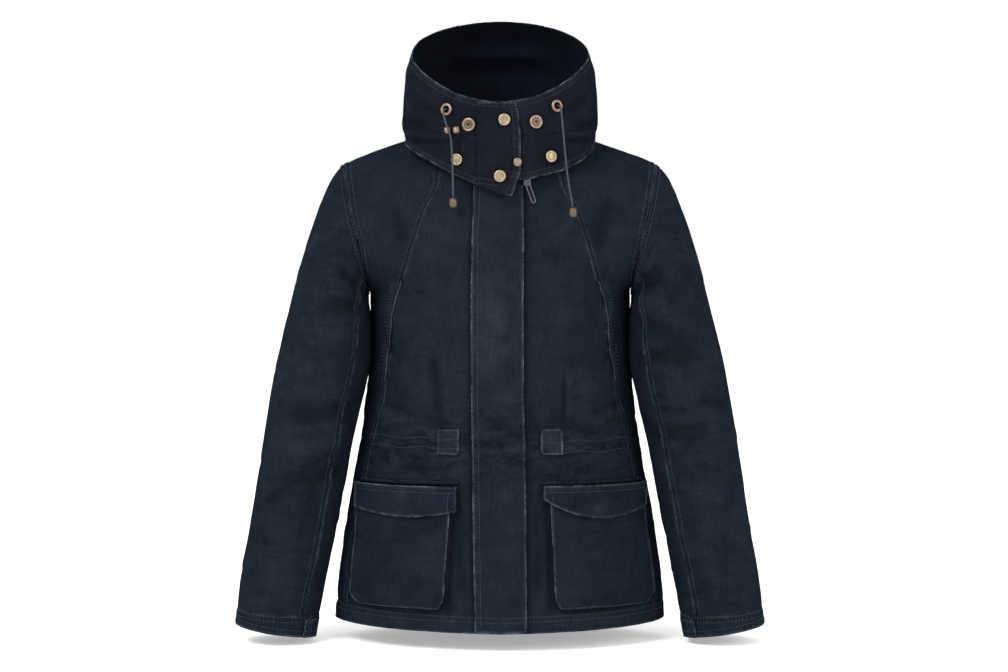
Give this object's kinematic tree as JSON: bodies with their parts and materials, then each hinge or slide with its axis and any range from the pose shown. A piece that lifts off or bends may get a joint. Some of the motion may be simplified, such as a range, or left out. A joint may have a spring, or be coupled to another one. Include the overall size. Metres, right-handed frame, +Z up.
{
  "type": "hooded windbreaker field jacket",
  "caption": "Short hooded field jacket in washed navy cotton with a snap storm flap, bellows pockets and hood cords, worn and hollow.",
  "frame": {"origin": "middle of the shoulder line at the base of the neck, where the wearer's shoulders hold the jacket up", "axes": "+Z up along the body, -Y out of the jacket's front, +X to the right as seen from the front"},
  "size_m": [0.6862, 0.3025, 0.8019],
  "materials": {
    "cotton_chest": "washed cotton canvas, matt",
    "cotton_flap": "washed cotton canvas, faded",
    "cotton_sleeve": "washed cotton canvas, matt",
    "cotton_pocket": "washed cotton canvas, worn edges",
    "cotton_hood": "washed cotton canvas, dark",
    "cotton_patch": "washed cotton canvas, rubbed",
    "cord": "waxed round cord",
    "brass": "aged, satin",
    "old_brass": "antique, dark recesses",
    "dark_metal": "blackened"
  },
  "bodies": {
    "garment": {"back": "cotton_chest", "back_yoke_left": "cotton_chest", "back_yoke_right": "cotton_chest", "chin_tab": "cotton_hood", "cord_left": "cord", "cord_right": "cord", "cuff_left": "cotton_sleeve", "cuff_right": "cotton_sleeve", "cuff_tab_left": "cotton_sleeve", "cuff_tab_right": "cotton_sleeve", "eyelet_left": "old_brass", "eyelet_right": "old_brass", "front_centre_left": "cotton_chest", "front_centre_right": "cotton_chest", "front_side_left": "cotton_chest", "front_side_right": "cotton_chest", "hand_welt_left": "cotton_chest", "hand_welt_right": "cotton_chest", "hood_centre": "cotton_hood", "hood_left": "cotton_hood", "hood_right": "cotton_hood", "hood_skirt_left": "cotton_hood", "hood_skirt_right": "cotton_hood", "pocket_face_left": "cotton_pocket", "pocket_face_right": "cotton_pocket", "pocket_flap_left": "cotton_pocket", "pocket_flap_right": "cotton_pocket", "pocket_gusset_left": "cotton_pocket", "pocket_gusset_right": "cotton_pocket", "pocket_welt_left": "cotton_pocket", "pocket_welt_right": "cotton_pocket", "rivet": "old_brass", "sleeve_under_left": "cotton_sleeve", "sleeve_under_right": "cotton_sleeve", "sleeve_upper_left": "cotton_sleeve", "sleeve_upper_right": "cotton_sleeve", "snap_lower_centre": "brass", "snap_lower_left": "brass", "snap_lower_right": "brass", "snap_top": "brass", "socket_left": "old_brass", "socket_right": "old_brass", "stopper_left": "dark_metal", "stopper_right": "dark_metal", "storm_flap": "cotton_flap", "toggle_left": "old_brass", "toggle_right": "old_brass", "waist_patch_left": "cotton_patch", "waist_patch_right": "cotton_patch", "zip_slider": "dark_metal"},
    "pull": {"zip_pull": "dark_metal"}
  },
  "joints": [
    {"name": "pull_hinge", "type": "hinge", "parent": "garment", "child": "pull", "pos_m": [0.0345, -0.1016, -0.0575], "axis": [-0.9426, 0, -0.3338], "range_deg": [0, 100]}
  ]
}
